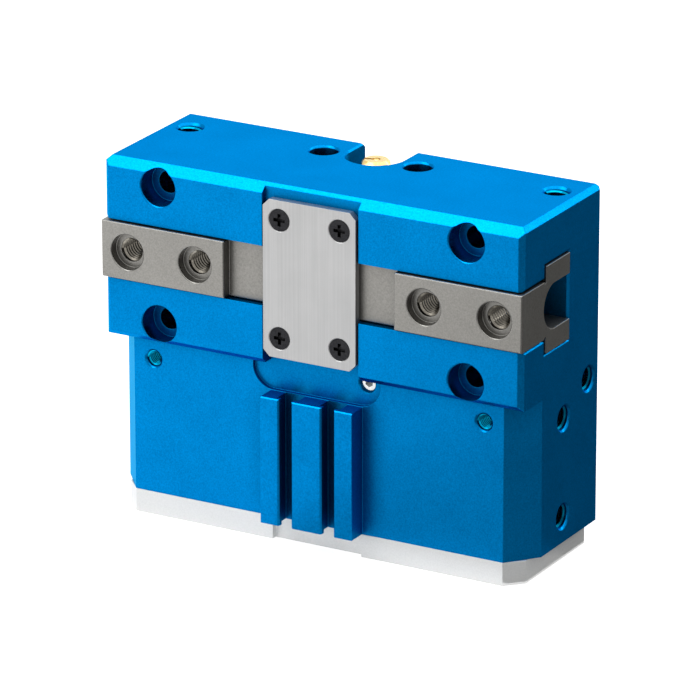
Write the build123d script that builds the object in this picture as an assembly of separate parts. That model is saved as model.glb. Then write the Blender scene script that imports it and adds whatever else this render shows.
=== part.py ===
"""Pneumatic parallel gripper with a wedge-hook drive, all sizes in millimetres.

X is the way the jaws travel, Y runs from the front face (negative) to the back,
and Z is the piston's axis, up from the underside of the end cover.
Everything is drawn with Y = 0 at the front face of the upper block, and moved
at the end so that the origin is under the middle of the whole gripper.
The jaws are drawn open, with the piston at the bottom of its stroke.
"""

from build123d import *
import os
from math import sqrt

# Upper block, which carries the jaws.
body_width = 115.0
body_depth = 40.5
jaw_height = 68.7  # middle of the jaw slot above the base
head_above = 23.3  # top face above the middle of the slot
lip_below = 22.5  # underside of the overhanging lip below the middle of the slot
top_chamfer_depth = 2.4
top_chamfer_drop = 2.3
side_chamfer = 1.25
lip_chamfer = 1.4

# Lower body, which holds the cylinder.
face_set_back = 3.0
corner_cut_x = 6.3
corner_cut_y = 7.7
back_chamfer = 1.25

# Ribs with the two sensor slots.
rib_proud = 2.3  # rib front in front of the upper block's face
rib_half_width = 12.7
rib_height = 32.7
rib_edge = 0.35
sensor_slot_offset = 5.875
sensor_mouth = 3.3
sensor_cavity = 5.5
sensor_lip = 1.5
sensor_lead_in = 0.4

# Oval pocket under the cover plate.
pocket_half_width = 17.6
pocket_radius = 5.7
pocket_above_ribs = 0.2
pocket_depth = 1.0

# Slot for the jaws.
neck_height = 14.5
neck_gap = 0.3
flange_front = 11.5
flange_thickness = 12.0
flange_height = 22.0
guide_gap = 0.04
slot_end_chamfer = 0.6

# Jaws.
jaw_stroke = 8.0
jaw_proud_side = 0.3
jaw_proud_front = 1.0
jaw_thick_length = 34.4
tongue_drop = 2.7  # tongue face behind the thick part's face
tongue_gap = 0.6  # tongue end to the middle plane when closed
jaw_edge = 0.25
groove_width = 11.4
groove_floor = 10.3
groove_wall = 2.2
relief_radius = 0.45
jaw_hole_end = 7.3
jaw_hole_spacing = 19.0
jaw_thread = 6.0
sleeve_bore = 9.0
sleeve_depth = 2.3
jaw_hole_rim = 0.25

# Wedge hook, piston rod and their fits.
slope = 0.5  # jaw travel for each millimetre of piston travel
wedge_height = 11.0
wedge_front_gap = 0.5
wedge_thickness = 15.6
wedge_end_gap = 0.5
hook_lip = 2.2
hook_head = 2.2
hook_neck_width = 3.0
hook_head_width = 6.4
hook_gap = 0.05
hook_floor_gap = 0.15
pocket_side_gap = 0.6
pocket_back_gap = 0.4
rod_diameter = 10.0
rod_to_jaw = 0.4
rod_gap = 0.03
rod_way = 0.5  # room around the rod between its seal and its bush
drive_screw = 5.0
drive_screw_room = 0.2
drive_head = 8.5
drive_head_height = 5.0
drive_head_room = 0.15
drive_screw_reach = 7.0
drive_socket = 4.0
drive_socket_depth = 2.5

# Cylinder and piston.
chamber_width = 60.0
chamber_depth = 26.0
chamber_behind_face = 18.75  # axis behind the lower body's face
piston_height = 16.9
piston_gap = 0.15
spigot_inset = 3.0
head_low = 7.75  # underside of the piston head above the piston's foot
head_height = 5.6
seal_wall = 0.7
seal_height = 2.6
seal_depth = 2.4
guide_height = 1.3
guide_depth = 1.6
ring_wall = 0.5
ring_gap = 0.03
groove_play = 0.05
rod_seat = 4.0
rod_ring_height = 1.6
rod_ring_depth = 1.2
rod_ring_up = 1.0
magnet_diameter = 5.0
magnet_length = 3.0
magnet_up = 4.0
end_play = 0.05

# Bumpers.
bumper_diameter = 8.0
bumper_in = 12.0  # bumper's axis inside the chamber's end
bumper_proud = 1.0
bumper_sunk = 1.0

# Rod guide in the floor of the upper block.
retainer_diameter = 17.0
retainer_thickness = 1.4
retainer_gap = 0.2
rod_seal_diameter = 15.0
rod_seal_height = 3.4
bush_diameter = 13.0
bush_shoulder = 0.6
bush_sunk = 0.5
seat_gap = 0.02

# End cover.
cover_thickness = 6.0
cover_inset = 2.2
cover_back_inset = 1.4
cover_cut_x = 4.2
cover_cut_y = 4.3
cover_back_cut = 1.5
cover_middle_half = 12.3
cover_middle_step = 1.5
seal_ring_offset = 1.25
seal_ring_width = 1.6
seal_ring_depth = 1.2
seal_ring_play = 0.1
cover_screw_in = 9.5  # inside the body's side
cover_screw_front = 7.0
cover_screw_back = 7.5
cover_screw = 4.0
cover_screw_room = 0.25
cover_screw_head = 7.6
cover_screw_length = 14.0
cover_screw_sunk = 0.2
cover_socket = 2.5
cover_socket_depth = 1.8
sink_room = 0.2  # a countersink's rim around the head in it
pin_in = 19.5  # inside the body's side
pin_back = 5.0  # inside the body's back
pin_diameter = 3.0
pin_in_cover = 4.0
pin_in_body = 6.0
pin_end_gap = 0.5

# Cover plate over the middle of the jaw slot.
plate_width = 25.5
plate_height = 40.0
plate_thickness = 2.0
plate_cut = 1.7
plate_recess = 1.5
plate_side_gap = 0.4
plate_screw_x = 8.25
plate_screw_z = 15.0
plate_screw = 3.0
plate_screw_room = 0.15
plate_screw_head = 5.6
plate_screw_length = 8.5
plate_screw_sunk = 0.1
cross_width = 0.85
cross_length = 3.1
cross_depth = 1.1

# Holes that fasten the gripper.
front_hole_in = 15.2  # inside the body's side
front_hole_z = 17.5
front_hole = 5.5
front_counterbore = 9.5
front_counterbore_depth = 5.4
hole_rim = 0.3
low_hole_in = 11.75  # inside the body's side
low_hole_above_ribs = 2.2
low_thread = 4.0
low_thread_depth = 8.0
low_thread_rim = 0.5
top_hole_behind = 29.8
top_thread_in = 6.8  # inside the body's side
top_thread = 6.0
top_thread_depth = 12.0
top_thread_rim = 0.7
top_plain_x = 13.0
top_plain = 7.0
top_plain_depth = 7.2
top_plain_rim = 0.5
side_thread = 6.0
side_thread_depth = 8.0
side_thread_rim = 0.5
port_thread_depth = 9.0
passage_offset = 1.5
side_hole_behind = 34.4
side_hole_below = 24.6  # mounting hole below the middle of the slot
low_port_up = 6.8  # lower port above the chamber's floor
high_port_down = 3.0  # upper port below the chamber's roof
passage = 2.5
port_plug_length = 5.0
port_plug_sunk = 0.6
port_plug_socket = 3.0
thread_gap = 0.04

# Plug in the oval pocket.
plug_x = 13.5
plug_diameter = 4.0
plug_length = 5.0
plug_sunk = 0.9
plug_hole_depth = 9.0
plug_rim = 0.45
plug_socket = 2.0

# Notch and grease nipple at the top of the back.
notch_width = 14.8
notch_centre = 32.5
notch_floor_wall = 1.0
notch_rim = 0.5
nipple_below_top = 0.9
nipple_flats = 7.0
nipple_crown = 5.7
nipple_cone = 1.5
nipple_bore = 2.1
nipple_bore_depth = 3.6
nipple_slot_width = 0.9
nipple_slot_depth = 1.1
nipple_slot_angle = 200.0
nipple_channel = 1.0
nipple_thread = 4.0
nipple_thread_length = 4.5
nipple_ball = 1.9
nipple_ball_sunk = 0.25
spring_wall = 0.35
spring_gap = 0.1
grease_channel = 1.6

spill = 1.0  # how far a cutter runs past the face that it opens
sliver = 0.01  # thickness of a cutter's plate where it meets a face

# What follows from the sizes above.
half_width = body_width / 2
body_height = jaw_height + head_above
cover_screw_x = half_width - cover_screw_in
pin_x = half_width - pin_in
front_hole_x = half_width - front_hole_in
low_hole_x = half_width - low_hole_in
top_thread_x = half_width - top_thread_in
bumper_offset = chamber_width / 2 - bumper_in
lip_height = jaw_height - lip_below
piston_stroke = jaw_stroke / slope
rod_radius = rod_diameter / 2
chamber_y = face_set_back + chamber_behind_face
chamber_height = piston_height + piston_stroke + 2 * (bumper_proud + end_play)
chamber_floor = cover_thickness
chamber_top = chamber_floor + chamber_height
piston_foot = chamber_floor + bumper_proud + end_play
piston_top = piston_foot + piston_height
flange_back = flange_front + flange_thickness
jaw_outer = half_width + jaw_proud_side
jaw_step = jaw_outer - jaw_thick_length
jaw_holes = (jaw_outer - jaw_hole_end, jaw_outer - jaw_hole_end - jaw_hole_spacing)
tongue_end = jaw_stroke + tongue_gap
ramp_middle = rod_radius + rod_to_jaw + slope * flange_height / 2 + jaw_stroke
wedge_reach = (piston_stroke + wedge_height) / 2
wedge_foot = jaw_height - wedge_reach
hook_depth = hook_lip + hook_gap + hook_head
wedge_pocket_half_height = wedge_reach + wedge_end_gap
wedge_top_half = ramp_middle - slope * (wedge_reach - wedge_height)
wedge_pocket_half_width = wedge_top_half + hook_depth + pocket_side_gap
wedge_front = flange_front + wedge_front_gap
wedge_pocket_back = wedge_front + wedge_thickness + pocket_back_gap
wedge_pocket_floor = jaw_height - wedge_pocket_half_height
hook_y = flange_front + flange_thickness / 2
notch_floor = jaw_height + wedge_pocket_half_height + notch_floor_wall
rib_front = -rib_proud
rib_top = cover_thickness + rib_height
pocket_z = rib_top + pocket_above_ribs + pocket_radius
retainer_top = chamber_top + retainer_thickness
rod_seal_top = retainer_top + rod_seal_height
bush_foot = rod_seal_top + bush_shoulder
bush_top = wedge_pocket_floor - bush_sunk
rod_foot = piston_top - rod_seat
drive_head_depth = drive_head_height + drive_head_room
low_hole_z = rib_top + low_hole_above_ribs
port_heights = (chamber_floor + low_port_up, chamber_top - high_port_down)
depth_centre = (body_depth - rib_proud) / 2

SIDES = (-1, 1)
OUTWARD = {
    "front": (0, -1, 0),
    "back": (0, 1, 0),
    "left": (-1, 0, 0),
    "right": (1, 0, 0),
    "top": (0, 0, 1),
    "bottom": (0, 0, -1),
}


def block(x, y, z):
    """A box from three (low, high) pairs."""
    middle = Pos((x[0] + x[1]) / 2, (y[0] + y[1]) / 2, (z[0] + z[1]) / 2)
    return middle * Box(x[1] - x[0], y[1] - y[0], z[1] - z[0])


def face_of(points):
    """A flat face inside straight edges."""
    return make_face(Polyline(*points, close=True))


def plan_prism(points, low, high):
    """A prism whose outline lies in X and Y."""
    return extrude(Pos(0, 0, low) * face_of(points), amount=high - low)


def front_prism(points, front, back):
    """A prism whose outline lies in X and Z, from one depth to another."""
    return extrude(Plane.XZ.offset(-front) * face_of(points), amount=front - back)


def side_prism(points, left, right):
    """A prism whose outline lies in Y and Z, from one side to the other."""
    return extrude(Plane.YZ.offset(left) * face_of(points), amount=right - left)


def drill(mouth, facing, diameter, depth, rim=0.0):
    """A hole's cutter: it starts outside its mouth and has a 45 degree rim."""
    plane = Plane(origin=mouth, z_dir=OUTWARD[facing])
    radius = diameter / 2
    cutter = plane * Pos(0, 0, (spill - depth) / 2) * Cylinder(radius, depth + spill)
    if rim:
        cutter += plane * Pos(0, 0, -rim / 2) * Cone(radius, radius + rim, rim)
    return cutter


def peg(mouth, facing, diameter, length):
    """A round bar that runs inwards from its mouth."""
    plane = Plane(origin=mouth, z_dir=OUTWARD[facing])
    return plane * Pos(0, 0, -length / 2) * Cylinder(diameter / 2, length)


def ring(centre_y, low, high, inner, outer):
    """An upright round ring."""
    height = high - low
    place = Pos(0, centre_y, (low + high) / 2)
    return place * (Cylinder(outer / 2, height) - Cylinder(inner / 2, height + spill))


def oval(width, depth, low, high):
    """An upright bar with the chamber's oval section."""
    return extrude(Pos(0, chamber_y, low) * SlotOverall(width, depth), amount=high - low)


def oval_ring(inset, thickness, low, high):
    """A band that follows the chamber's wall, inset from it."""
    outer = oval(chamber_width - 2 * inset, chamber_depth - 2 * inset, low, high)
    inner_inset = inset + thickness
    inner = oval(
        chamber_width - 2 * inner_inset,
        chamber_depth - 2 * inner_inset,
        low - spill,
        high + spill,
    )
    return outer - inner


def hexagon(flats, mouth, facing, depth):
    """A hexagonal bar or socket cutter that runs inwards from its mouth."""
    plane = Plane(origin=mouth, z_dir=OUTWARD[facing])
    outline = plane * RegularPolygon(flats / 2, 6, major_radius=False)
    return extrude(outline, amount=-depth)


def frustum(y, z, at, side, chamfer):
    """A slot end's chamfer: it widens towards the side face."""
    inside = at - side * chamfer
    wide = block((at - sliver, at + sliver), y, z)
    outline_in = Plane.YZ.offset(inside) * Pos((y[0] + y[1]) / 2, (z[0] + z[1]) / 2)
    outline_out = Plane.YZ.offset(at) * Pos((y[0] + y[1]) / 2, (z[0] + z[1]) / 2)
    width, height = y[1] - y[0], z[1] - z[0]
    small = outline_in * Rectangle(width, height)
    large = outline_out * Rectangle(width + 2 * chamfer, height + 2 * chamfer)
    return loft([small, large]) + wide


def about_slot(half):
    """The span in Z that is centred on the jaw slot."""
    return (jaw_height - half, jaw_height + half)


def upper_block():
    """The block across the top, with its chamfered edges."""
    c = side_chamfer
    outline = [
        (-half_width + c, 0),
        (half_width - c, 0),
        (half_width, c),
        (half_width, body_depth - c),
        (half_width - c, body_depth),
        (-half_width + c, body_depth),
        (-half_width, body_depth - c),
        (-half_width, c),
    ]
    solid = plan_prism(outline, lip_height, body_height)
    top = body_height
    front_edge = [(-spill, top + spill), (-spill, top - top_chamfer_drop)]
    front_edge += [(0, top - top_chamfer_drop), (top_chamfer_depth, top)]
    front_edge += [(top_chamfer_depth, top + spill)]
    solid -= side_prism(front_edge, -half_width - spill, half_width + spill)
    back_edge = [(body_depth, top - c), (body_depth - c, top)]
    back_edge += [(body_depth + spill, top + spill)]
    solid -= side_prism(back_edge, -half_width - spill, half_width + spill)
    lip_edge = [(0, lip_height + lip_chamfer), (lip_chamfer, lip_height)]
    lip_edge += [(-spill, lip_height - spill)]
    solid -= side_prism(lip_edge, -half_width - spill, half_width + spill)
    for side in SIDES:
        edge = side * half_width
        corner = [(edge, top - c), (edge - side * c, top)]
        corner += [(edge + side * spill, top + spill)]
        solid -= front_prism(corner, -spill, body_depth + spill)
    return solid


def lower_body():
    """The cylinder's block with its big front corner cuts and the oval pocket."""
    face = face_set_back
    outline = [
        (-half_width + corner_cut_x, face),
        (half_width - corner_cut_x, face),
        (half_width, face + corner_cut_y),
        (half_width, body_depth - back_chamfer),
        (half_width - back_chamfer, body_depth),
        (-half_width + back_chamfer, body_depth),
        (-half_width, body_depth - back_chamfer),
        (-half_width, face + corner_cut_y),
    ]
    solid = plan_prism(outline, cover_thickness, lip_height)
    oval_face = Plane.XZ.offset(spill - face) * Pos(0, pocket_z)
    oval_face *= SlotOverall(2 * pocket_half_width, 2 * pocket_radius)
    return solid - extrude(oval_face, amount=-(pocket_depth + spill))


def ribs():
    """Three ribs that leave two undercut slots for position sensors."""
    face = face_set_back
    solid = block(
        (-rib_half_width, rib_half_width),
        (rib_front, face),
        (cover_thickness, rib_top),
    )
    top_edge = [(rib_front, rib_top - rib_edge), (rib_front + rib_edge, rib_top)]
    top_edge += [(rib_front - spill, rib_top + spill)]
    solid -= side_prism(top_edge, -rib_half_width - spill, rib_half_width + spill)
    tall = (cover_thickness - spill, rib_top + spill)
    for side in SIDES:
        middle = side * sensor_slot_offset
        mouth = (middle - sensor_mouth / 2, middle + sensor_mouth / 2)
        cavity = (middle - sensor_cavity / 2, middle + sensor_cavity / 2)
        solid -= block(mouth, (rib_front - spill, face), tall)
        solid -= block(cavity, (rib_front + sensor_lip, face), tall)
        wide = sensor_mouth / 2 + sensor_lead_in
        lead_in = [(middle - wide, rib_front), (middle + wide, rib_front)]
        lead_in += [(middle + sensor_mouth / 2, rib_front + sensor_lead_in)]
        lead_in += [(middle - sensor_mouth / 2, rib_front + sensor_lead_in)]
        solid -= plan_prism(lead_in, *tall)
    return solid


def jaw_slot():
    """The T-shaped slot for the jaws, with the wedge's pocket in its middle."""
    across = (-half_width - spill, half_width + spill)
    mouth_z = about_slot(neck_height / 2 + neck_gap)
    flange_y = (flange_front - guide_gap, flange_back + guide_gap)
    flange_z = about_slot(flange_height / 2 + guide_gap)
    cutter = block(across, (-spill, flange_back), mouth_z)
    cutter += block(across, flange_y, flange_z)
    for side in SIDES:
        edge = side * half_width
        cutter += frustum((-spill, flange_back), mouth_z, edge, side, slot_end_chamfer)
        cutter += frustum(flange_y, flange_z, edge, side, slot_end_chamfer)
    pocket_x = (-wedge_pocket_half_width, wedge_pocket_half_width)
    pocket_y = (flange_front - guide_gap, wedge_pocket_back)
    return cutter + block(pocket_x, pocket_y, about_slot(wedge_pocket_half_height))


def plate_recess_cut():
    """The recess for the cover plate, open at the top and through the lip."""
    half = plate_width / 2 + plate_side_gap
    sides = (-half, half)
    low = jaw_height - plate_height / 2
    cutter = block(sides, (-spill, plate_recess), (lip_height - spill, body_height + spill))
    window_top = max(pocket_z + pocket_radius, low)
    window_back = face_set_back + pocket_depth
    return cutter + block(sides, (-spill, window_back), (lip_height, window_top))


def cylinder_cut():
    """The chamber, and the stepped bore for the rod's seal and bush above it."""
    cutter = oval(chamber_width, chamber_depth, chamber_floor - spill, chamber_top)
    steps = [
        (retainer_diameter, chamber_top, retainer_top),
        (rod_seal_diameter, retainer_top, rod_seal_top),
        (rod_diameter + 2 * rod_way, rod_seal_top, wedge_pocket_floor + spill),
        (bush_diameter, bush_foot, wedge_pocket_floor + spill),
    ]
    for diameter, low, high in steps:
        cutter += peg((0, chamber_y, high), "top", diameter, high - low)
    for side in SIDES:
        seat = (side * bumper_offset, chamber_y, chamber_top + bumper_sunk)
        cutter += peg(seat, "top", bumper_diameter + 2 * seat_gap, bumper_sunk)
    return cutter


def fastening_cuts():
    """All threaded and plain holes that open to the outside."""
    cuts = []
    face = face_set_back
    for side in SIDES:
        facing = "right" if side > 0 else "left"
        for up in SIDES:
            x, z = side * front_hole_x, jaw_height + up * front_hole_z
            cuts.append(drill((x, 0, z), "front", front_hole, body_depth + spill))
            cuts.append(
                drill(
                    (x, 0, z),
                    "front",
                    front_counterbore,
                    front_counterbore_depth,
                    hole_rim,
                )
            )
            cuts.append(
                drill((x, body_depth, z), "back", front_hole, hole_rim + spill, hole_rim)
            )
        low = (side * low_hole_x, face, low_hole_z)
        cuts.append(drill(low, "front", low_thread, low_thread_depth, low_thread_rim))
        top = (side * top_thread_x, top_hole_behind, body_height)
        cuts.append(drill(top, "top", top_thread, top_thread_depth, top_thread_rim))
        plain = (side * top_plain_x, top_hole_behind, body_height)
        cuts.append(drill(plain, "top", top_plain, top_plain_depth, top_plain_rim))
        side_hole = (side * half_width, side_hole_behind, jaw_height - side_hole_below)
        cuts.append(
            drill(side_hole, facing, side_thread, side_thread_depth, side_thread_rim)
        )
        for height in port_heights:
            port = (side * half_width, chamber_y, height)
            cuts.append(
                drill(port, facing, side_thread, port_thread_depth, side_thread_rim)
            )
            away = passage_offset if height == port_heights[1] else -passage_offset
            beside = (side * half_width, chamber_y, height + away)
            reach = half_width - chamber_width / 2 + spill
            cuts.append(drill(beside, facing, passage, reach))
        for front in cover_screw_places():
            place = (side * cover_screw_x, front, cover_thickness)
            depth = cover_screw_length - cover_thickness + spill
            cuts.append(drill(place, "bottom", cover_screw, depth))
        pin = (side * pin_x, pin_y(), cover_thickness)
        cuts.append(drill(pin, "bottom", pin_diameter, pin_in_body))
        for up in SIDES:
            x, z = side * plate_screw_x, jaw_height + up * plate_screw_z
            place = (x, plate_recess, z)
            cuts.append(drill(place, "front", plate_screw, plate_screw_length))
    plug = (plug_x, face + pocket_depth, pocket_z)
    cuts.append(drill(plug, "front", plug_diameter, plug_hole_depth, plug_rim))
    return cuts


def cover_screw_places():
    """How far behind the front plane the end cover's screws lie."""
    return (face_set_back + cover_screw_front, body_depth - cover_screw_back)


def pin_y():
    """How far behind the front plane the locating pins lie."""
    return body_depth - pin_back


def notch_cuts():
    """The round-ended notch at the back, and the nipple's thread and channel."""
    radius = notch_width / 2
    out = body_depth + 2 * spill
    cutter = block((-radius, radius), (notch_centre, out), (notch_floor, body_height + spill))
    tall = body_height + spill - notch_floor
    cutter += peg((0, notch_centre, body_height + spill), "top", notch_width, tall)
    rim_low = body_height - notch_rim
    cutter += Pos(0, notch_centre, body_height - notch_rim / 2) * Cone(
        radius, radius + notch_rim, notch_rim
    )
    rim = [(-radius, rim_low), (radius, rim_low)]
    rim += [(radius + notch_rim, body_height), (-radius - notch_rim, body_height)]
    cutter += front_prism(rim, notch_centre, out)
    thread_foot = notch_floor - nipple_thread_length - spill
    thread = drill(
        (0, notch_centre, notch_floor), "top", nipple_thread, notch_floor - thread_foot
    )
    channel_z = thread_foot + grease_channel
    channel_start = (0, notch_centre, channel_z)
    channel = peg(
        channel_start, "back", grease_channel, notch_centre - wedge_pocket_back + spill
    )
    return cutter + thread + channel


def make_body_block():
    """The housing in one piece."""
    solid = upper_block() + lower_body() + ribs()
    solid -= plate_recess_cut()
    solid -= jaw_slot()
    solid -= cylinder_cut()
    solid -= notch_cuts()
    for cut in fastening_cuts():
        solid -= cut
    return solid


def cover_outline():
    """The end cover's outline, inset from the body above it."""
    side = half_width - cover_inset
    front = face_set_back
    back = body_depth - cover_back_inset
    return [
        (-side + cover_cut_x, front),
        (-cover_middle_half, front),
        (-cover_middle_half, front + cover_middle_step),
        (cover_middle_half, front + cover_middle_step),
        (cover_middle_half, front),
        (side - cover_cut_x, front),
        (side, front + cover_cut_y),
        (side, back - cover_back_cut),
        (side - cover_back_cut, back),
        (-side + cover_back_cut, back),
        (-side, back - cover_back_cut),
        (-side, front + cover_cut_y),
    ]


def make_end_cover():
    """The plate that closes the cylinder."""
    solid = plan_prism(cover_outline(), 0, cover_thickness)
    groove_low = cover_thickness - seal_ring_depth
    solid -= oval_ring(
        -seal_ring_offset - seal_ring_width,
        seal_ring_width + seal_ring_play,
        groove_low,
        cover_thickness + spill,
    )
    for side in SIDES:
        for front in cover_screw_places():
            place = (side * cover_screw_x, front, 0)
            through = cover_thickness + spill
            hole = cover_screw + 2 * cover_screw_room
            solid -= drill(place, "bottom", hole, through)
            rim = cover_screw_head + 2 * sink_room
            solid -= countersink(place, "bottom", rim, cover_screw)
        pin = (side * pin_x, pin_y(), cover_thickness)
        solid -= drill(pin, "top", pin_diameter, pin_in_cover)
        seat = (side * bumper_offset, chamber_y, cover_thickness)
        solid -= drill(seat, "top", bumper_diameter + 2 * seat_gap, bumper_sunk)
    return solid


def countersink(mouth, facing, wide, narrow):
    """A 90 degree countersink's cutter."""
    plane = Plane(origin=mouth, z_dir=OUTWARD[facing])
    depth = (wide - narrow) / 2
    return plane * Pos(0, 0, -depth / 2) * Cone(narrow / 2, wide / 2, depth)


def countersunk_screw(mouth, facing, diameter, head, length, sunk):
    """A countersunk screw; its head's flat face lies a little below its mouth."""
    plane = Plane(origin=mouth, z_dir=OUTWARD[facing])
    depth = (head - diameter) / 2
    screw = plane * Pos(0, 0, -sunk - depth / 2) * Cone(diameter / 2, head / 2, depth)
    screw += plane * Pos(0, 0, -(sunk + length) / 2 - depth / 2) * Cylinder(
        diameter / 2, length - sunk - depth
    )
    return screw


def make_end_cover_screws():
    """Four countersunk screws from below."""
    screws = []
    for side in SIDES:
        for front in cover_screw_places():
            place = (side * cover_screw_x, front, 0)
            shank = cover_screw - 2 * thread_gap
            screw = countersunk_screw(
                place,
                "bottom",
                shank,
                cover_screw_head,
                cover_screw_length,
                cover_screw_sunk,
            )
            depth = cover_screw_sunk + cover_socket_depth
            screws.append(screw - hexagon(cover_socket, place, "bottom", depth))
    return Compound(screws)


def make_end_cover_pins():
    """Two locating pins between the body and its end cover."""
    pins = []
    for side in SIDES:
        top = (side * pin_x, pin_y(), cover_thickness + pin_in_body - pin_end_gap)
        length = pin_in_body + pin_in_cover - 2 * pin_end_gap
        pins.append(peg(top, "top", pin_diameter - 2 * seat_gap, length))
    return Compound(pins)


def make_end_cover_seal():
    """The oval sealing ring in the end cover's groove."""
    return oval_ring(
        -seal_ring_offset - seal_ring_width + seal_ring_play,
        seal_ring_width - seal_ring_play,
        cover_thickness - seal_ring_depth,
        cover_thickness,
    )


def make_bumpers(low):
    """Two cushioning discs, sunk into the cover or the chamber's roof."""
    height = bumper_sunk + bumper_proud
    discs = []
    for side in SIDES:
        place = (side * bumper_offset, chamber_y, low + height)
        discs.append(peg(place, "top", bumper_diameter, height))
    return Compound(discs)


def make_cover_plate():
    """The brushed plate with chamfered corners over the middle of the slot."""
    half, tall, c = plate_width / 2, plate_height / 2, plate_cut
    outline = [
        (-half + c, jaw_height - tall),
        (half - c, jaw_height - tall),
        (half, jaw_height - tall + c),
        (half, jaw_height + tall - c),
        (half - c, jaw_height + tall),
        (-half + c, jaw_height + tall),
        (-half, jaw_height + tall - c),
        (-half, jaw_height - tall + c),
    ]
    front = plate_recess - plate_thickness
    solid = front_prism(outline, front, plate_recess)
    for x, z in plate_screw_places():
        hole = plate_screw + 2 * plate_screw_room
        solid -= drill((x, front, z), "front", hole, plate_thickness + spill)
        rim = plate_screw_head + 2 * sink_room
        solid -= countersink((x, front, z), "front", rim, plate_screw)
    return solid


def plate_screw_places():
    """Where the cover plate's four screws are, in X and Z."""
    return [
        (side * plate_screw_x, jaw_height + up * plate_screw_z)
        for side in SIDES
        for up in SIDES
    ]


def make_cover_plate_screws():
    """Four countersunk screws with a cross recess."""
    front = plate_recess - plate_thickness
    screws = []
    for x, z in plate_screw_places():
        mouth = (x, front, z)
        screw = countersunk_screw(
            mouth,
            "front",
            plate_screw - 2 * thread_gap,
            plate_screw_head,
            plate_screw_length,
            plate_screw_sunk,
        )
        floor = front + plate_screw_sunk + cross_depth
        long, thin = cross_length / 2, cross_width / 2
        screw -= block((x - long, x + long), (front - spill, floor), (z - thin, z + thin))
        screw -= block((x - thin, x + thin), (front - spill, floor), (z - long, z + long))
        screws.append(screw)
    return Compound(screws)


def make_seal_retainer():
    """The washer that holds the rod's seal."""
    inner = rod_diameter + 2 * retainer_gap
    outer = retainer_diameter - 2 * seat_gap
    return ring(chamber_y, chamber_top, retainer_top, inner, outer)


def make_rod_seal():
    """The rod's seal."""
    inner = rod_diameter + 2 * rod_gap
    outer = rod_seal_diameter - 2 * seat_gap
    return ring(chamber_y, retainer_top, rod_seal_top, inner, outer)


def make_rod_bush():
    """The rod's plain bearing bush."""
    inner = rod_diameter + 2 * rod_gap
    outer = bush_diameter - 2 * seat_gap
    return ring(chamber_y, bush_foot, bush_top, inner, outer)


def socket_plug(mouth, facing, diameter, length, sunk, socket):
    """A threaded plug with a hexagon socket, sunk below its hole's mouth."""
    out = OUTWARD[facing]
    start = tuple(value - sunk * step for value, step in zip(mouth, out))
    plug = peg(start, facing, diameter - 2 * thread_gap, length)
    return plug - hexagon(socket, start, facing, length / 2)


def make_passage_plug():
    """The plug in the oval pocket."""
    mouth = (plug_x, face_set_back + pocket_depth, pocket_z)
    return socket_plug(mouth, "front", plug_diameter, plug_length, plug_sunk, plug_socket)


def make_port_plugs():
    """Two plugs that close the air ports on the left side."""
    plugs = []
    for height in port_heights:
        mouth = (-half_width, chamber_y, height)
        plugs.append(
            socket_plug(
                mouth, "left", side_thread, port_plug_length, port_plug_sunk, port_plug_socket
            )
        )
    return Compound(plugs)


def make_nipple_body():
    """The brass grease nipple: hexagon, cone and a crown with one slot."""
    top = body_height - nipple_below_top
    height = top - notch_floor
    centre = (0, notch_centre, top)
    solid = hexagon(nipple_flats, centre, "top", height)
    corner = nipple_flats / sqrt(3)
    crown = nipple_crown / 2
    cone_height = nipple_cone
    taper = Pos(0, notch_centre, top - cone_height / 2) * Cone(
        crown + cone_height, crown, cone_height
    )
    below = peg((0, notch_centre, top - cone_height), "top", 2 * (corner + spill), height)
    solid &= taper + below
    solid += peg(
        (0, notch_centre, notch_floor),
        "top",
        nipple_thread - 2 * thread_gap,
        nipple_thread_length,
    )
    solid -= drill(centre, "top", nipple_bore, nipple_bore_depth)
    solid -= drill(centre, "top", nipple_channel, height + nipple_thread_length + spill)
    slot = Pos(0, notch_centre, top) * Rotation(0, 0, nipple_slot_angle)
    slot *= Pos(corner / 2, 0, 0) * Box(corner, nipple_slot_width, 2 * nipple_slot_depth)
    return solid - slot


def make_nipple_ball():
    """The ball that closes the nipple."""
    top = body_height - nipple_below_top - nipple_ball_sunk
    return Pos(0, notch_centre, top - nipple_ball / 2) * Sphere(nipple_ball / 2)


def make_nipple_spring():
    """A tube in place of the coil under the ball."""
    top = body_height - nipple_below_top
    high = top - nipple_ball_sunk - nipple_ball - spring_gap / 2
    outer = nipple_bore - 2 * spring_gap
    return ring(
        notch_centre, top - nipple_bore_depth, high, outer - 2 * spring_wall, outer
    )


def make_piston():
    """The oval piston with its grooves, rod seat and magnet pockets."""
    foot, top = piston_foot, piston_top
    solid = oval(
        chamber_width - 2 * spigot_inset, chamber_depth - 2 * spigot_inset, foot, top
    )
    head = (foot + head_low, foot + head_low + head_height)
    solid += oval(chamber_width - 2 * piston_gap, chamber_depth - 2 * piston_gap, *head)
    solid -= oval_ring(-spill, seal_depth + spill, *seal_span())
    solid -= oval_ring(-spill, guide_depth + spill, *guide_span())
    seat = (0, chamber_y, top)
    solid -= drill(seat, "top", rod_diameter + 2 * seat_gap, rod_seat)
    hole = drive_screw + 2 * drive_screw_room
    solid -= drill(seat, "top", hole, piston_height + spill)
    underside = (0, chamber_y, foot)
    head = drive_head + 2 * drive_head_room
    solid -= drill(underside, "bottom", head, drive_head_depth)
    for side in SIDES:
        place = magnet_place(side)
        solid -= drill(place, "front", magnet_diameter + 2 * seat_gap, magnet_length)
    return solid


def seal_span():
    """The piston seal's groove in Z."""
    low = piston_foot + head_low + seal_wall
    return (low, low + seal_height)


def guide_span():
    """The guide ring's groove in Z."""
    low = seal_span()[1] + ring_wall
    return (low, low + guide_height)


def magnet_place(side):
    """The mouth of a magnet's pocket, behind one of the sensor slots."""
    front = chamber_y - chamber_depth / 2 + spigot_inset
    return (side * sensor_slot_offset, front, piston_foot + magnet_up)


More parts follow.
